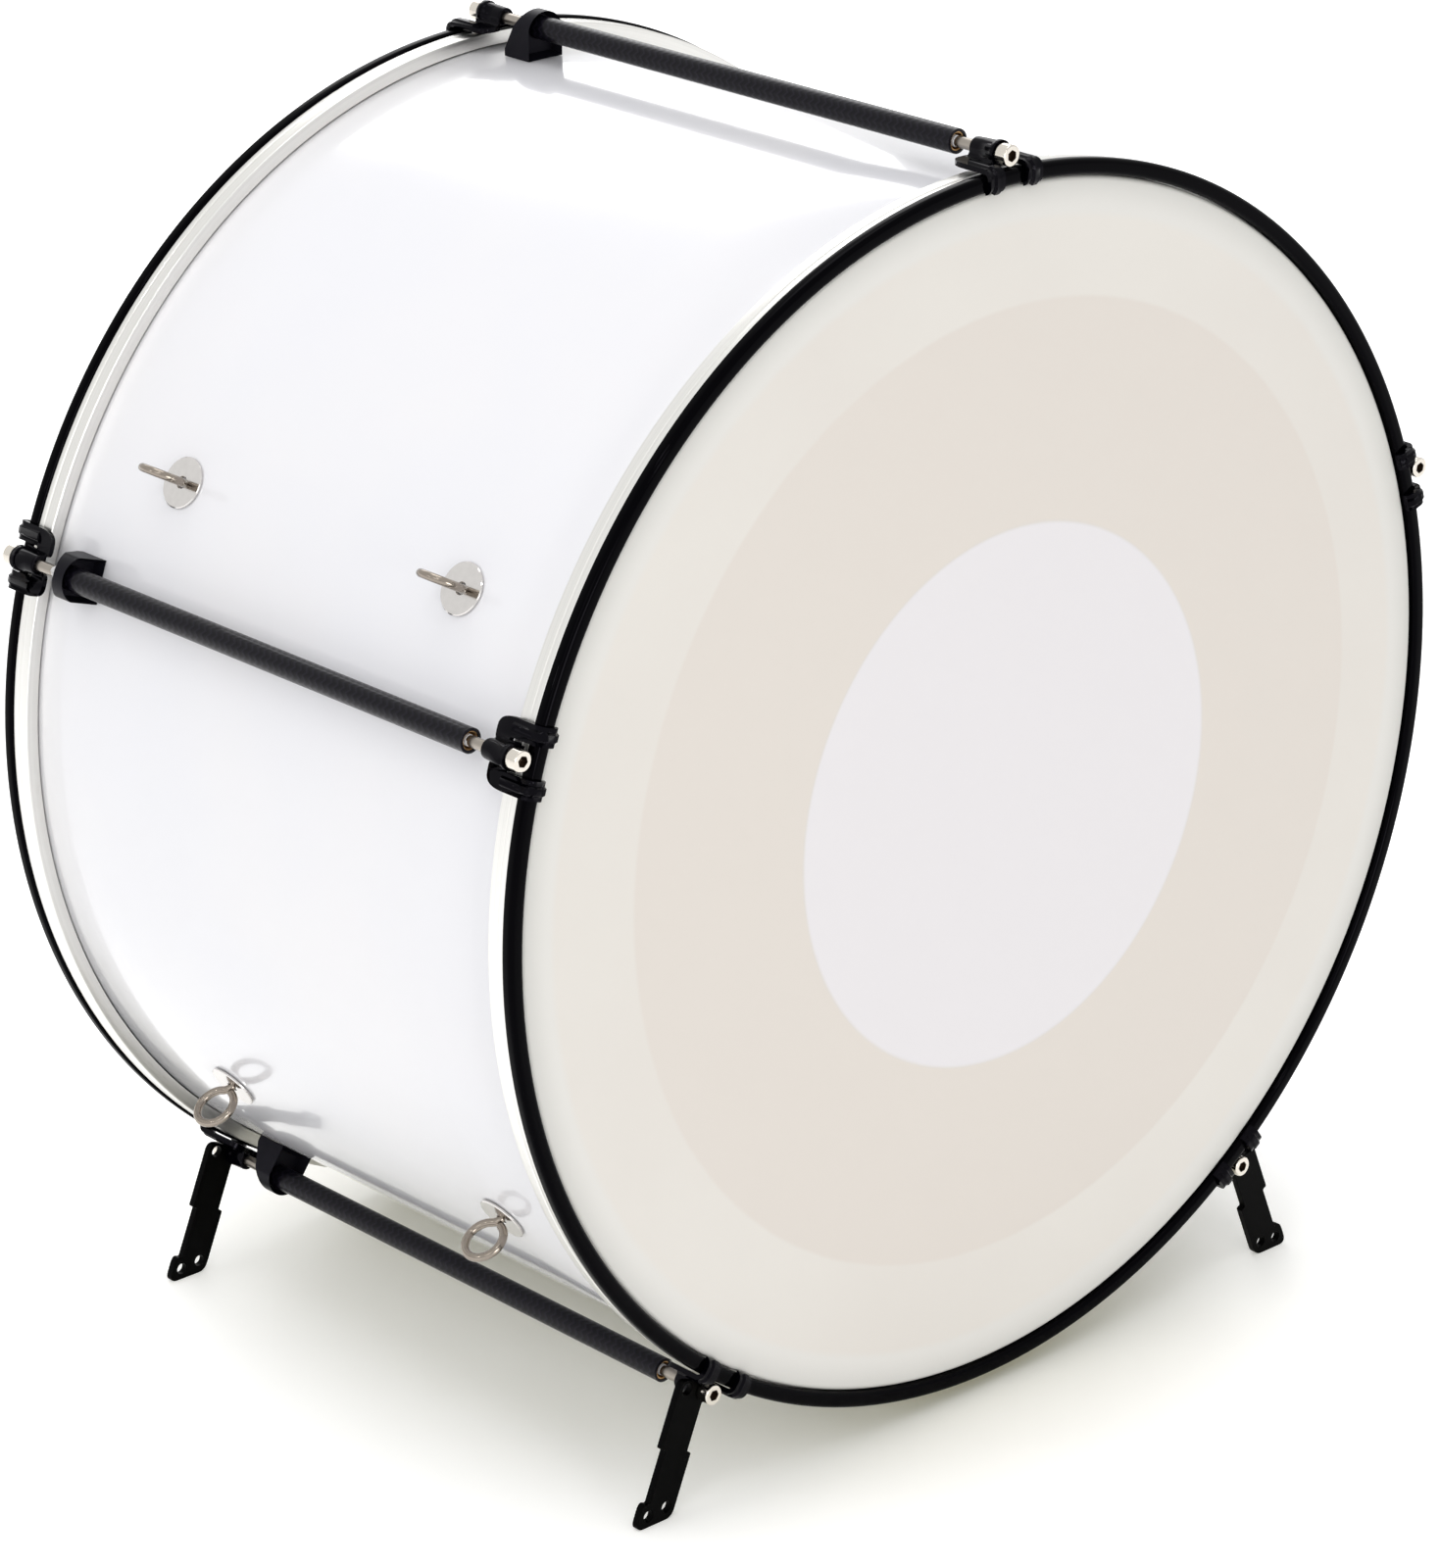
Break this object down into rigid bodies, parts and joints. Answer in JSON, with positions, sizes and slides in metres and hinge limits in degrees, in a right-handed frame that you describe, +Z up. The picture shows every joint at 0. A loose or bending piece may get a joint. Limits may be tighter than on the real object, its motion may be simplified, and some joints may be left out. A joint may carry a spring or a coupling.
{
  "type": "marching bass drum",
  "caption": "Marching bass drum: a white shell with a head and black hoop at each end, pulled together by sleeved rods, on fold-away feet, with harness eye bolts on one side.",
  "frame": {"origin": "on the floor under the middle of the drum, where it stands on its feet", "axes": "+Z up; the drum axis lies along Y and the front head faces -Y; the eye bolts are on the -X side"},
  "size_m": [0.6756, 0.4214, 0.6989],
  "materials": {
    "white_lacquer": "white gloss lacquer on a wooden shell",
    "cream_film": "coated translucent film with a white middle disc",
    "brushed_ring": "satin bare aluminium",
    "black_enamel": "black gloss enamel",
    "polished_steel": "bright steel socket screws",
    "woven_sleeve": "clear-coated black woven fibre",
    "brass_core": "plain turned brass",
    "black_plastic": "satin black moulding",
    "black_steel": "black satin coating",
    "eye_steel": "polished stainless steel"
  },
  "bodies": {
    "drum": {"shell": "white_lacquer", "head_front": "cream_film", "flesh_ring_front": "brushed_ring", "hoop_front": "black_enamel", "head_rear": "cream_film", "flesh_ring_rear": "brushed_ring", "hoop_rear": "black_enamel", "claw_front_top": "black_enamel", "claw_rear_top": "black_enamel", "rod_sleeve_top": "woven_sleeve", "rod_core_top": "brass_core", "spacer_block_top": "black_plastic", "claw_front_left": "black_enamel", "claw_rear_left": "black_enamel", "rod_sleeve_left": "woven_sleeve", "rod_core_left": "brass_core", "spacer_block_left": "black_plastic", "claw_front_low_left": "black_enamel", "claw_rear_low_left": "black_enamel", "rod_sleeve_low_left": "woven_sleeve", "rod_core_low_left": "brass_core", "spacer_block_low_left": "black_plastic", "claw_front_low_right": "black_enamel", "claw_rear_low_right": "black_enamel", "rod_sleeve_low_right": "woven_sleeve", "rod_core_low_right": "brass_core", "spacer_block_low_right": "black_plastic", "claw_front_right": "black_enamel", "claw_rear_right": "black_enamel", "rod_sleeve_right": "woven_sleeve", "rod_core_right": "brass_core", "spacer_block_right": "black_plastic", "eye_bolt_front_upper": "eye_steel", "eye_washer_front_upper": "eye_steel", "eye_nut_front_upper": "eye_steel", "eye_bolt_rear_upper": "eye_steel", "eye_washer_rear_upper": "eye_steel", "eye_nut_rear_upper": "eye_steel", "eye_bolt_front_lower": "eye_steel", "eye_washer_front_lower": "eye_steel", "eye_nut_front_lower": "eye_steel", "eye_bolt_rear_lower": "eye_steel", "eye_washer_rear_lower": "eye_steel", "eye_nut_rear_lower": "eye_steel"},
    "screw_front_top": {"screw_front_top": "polished_steel"},
    "screw_rear_top": {"screw_rear_top": "polished_steel"},
    "screw_front_left": {"screw_front_left": "polished_steel"},
    "screw_rear_left": {"screw_rear_left": "polished_steel"},
    "screw_front_low_left": {"screw_front_low_left": "polished_steel"},
    "screw_rear_low_left": {"screw_rear_low_left": "polished_steel"},
    "screw_front_low_right": {"screw_front_low_right": "polished_steel"},
    "screw_rear_low_right": {"screw_rear_low_right": "polished_steel"},
    "screw_front_right": {"screw_front_right": "polished_steel"},
    "screw_rear_right": {"screw_rear_right": "polished_steel"},
    "foot_front_left": {"foot_front_left": "black_steel"},
    "foot_front_right": {"foot_front_right": "black_steel"},
    "foot_rear_left": {"foot_rear_left": "black_steel"},
    "foot_rear_right": {"foot_rear_right": "black_steel"}
  },
  "joints": [
    {"name": "screw_front_top_turn", "type": "hinge", "parent": "drum", "child": "screw_front_top", "pos_m": [0, -0.1982, 0.68927], "axis": [0, -1, 0], "range_deg": [-90, 720]},
    {"name": "screw_rear_top_turn", "type": "hinge", "parent": "drum", "child": "screw_rear_top", "pos_m": [0, 0.1982, 0.68927], "axis": [0, 1, 0], "range_deg": [-90, 720]},
    {"name": "screw_front_left_turn", "type": "hinge", "parent": "drum", "child": "screw_front_left", "pos_m": [-0.32783, -0.1982, 0.45109], "axis": [0, -1, 0], "range_deg": [-90, 720]},
    {"name": "screw_rear_left_turn", "type": "hinge", "parent": "drum", "child": "screw_rear_left", "pos_m": [-0.32783, 0.1982, 0.45109], "axis": [0, 1, 0], "range_deg": [-90, 720]},
    {"name": "screw_front_low_left_turn", "type": "hinge", "parent": "drum", "child": "screw_front_low_left", "pos_m": [-0.20261, -0.1982, 0.0657], "axis": [0, -1, 0], "range_deg": [-90, 720]},
    {"name": "screw_rear_low_left_turn", "type": "hinge", "parent": "drum", "child": "screw_rear_low_left", "pos_m": [-0.20261, 0.1982, 0.0657], "axis": [0, 1, 0], "range_deg": [-90, 720]},
    {"name": "screw_front_low_right_turn", "type": "hinge", "parent": "drum", "child": "screw_front_low_right", "pos_m": [0.20261, -0.1982, 0.0657], "axis": [0, -1, 0], "range_deg": [-90, 720]},
    {"name": "screw_rear_low_right_turn", "type": "hinge", "parent": "drum", "child": "screw_rear_low_right", "pos_m": [0.20261, 0.1982, 0.0657], "axis": [0, 1, 0], "range_deg": [-90, 720]},
    {"name": "screw_front_right_turn", "type": "hinge", "parent": "drum", "child": "screw_front_right", "pos_m": [0.32783, -0.1982, 0.45109], "axis": [0, -1, 0], "range_deg": [-90, 720]},
    {"name": "screw_rear_right_turn", "type": "hinge", "parent": "drum", "child": "screw_rear_right", "pos_m": [0.32783, 0.1982, 0.45109], "axis": [0, 1, 0], "range_deg": [-90, 720]},
    {"name": "foot_front_left_fold", "type": "hinge", "parent": "drum", "child": "foot_front_left", "pos_m": [-0.20261, -0.1958, 0.0657], "axis": [0, -1, 0], "range_deg": [0, 76]},
    {"name": "foot_front_right_fold", "type": "hinge", "parent": "drum", "child": "foot_front_right", "pos_m": [0.20261, -0.1958, 0.0657], "axis": [0, 1, 0], "range_deg": [0, 76]},
    {"name": "foot_rear_left_fold", "type": "hinge", "parent": "drum", "child": "foot_rear_left", "pos_m": [-0.20261, 0.1958, 0.0657], "axis": [0, -1, 0], "range_deg": [0, 76]},
    {"name": "foot_rear_right_fold", "type": "hinge", "parent": "drum", "child": "foot_rear_right", "pos_m": [0.20261, 0.1958, 0.0657], "axis": [0, 1, 0], "range_deg": [0, 76]}
  ]
}
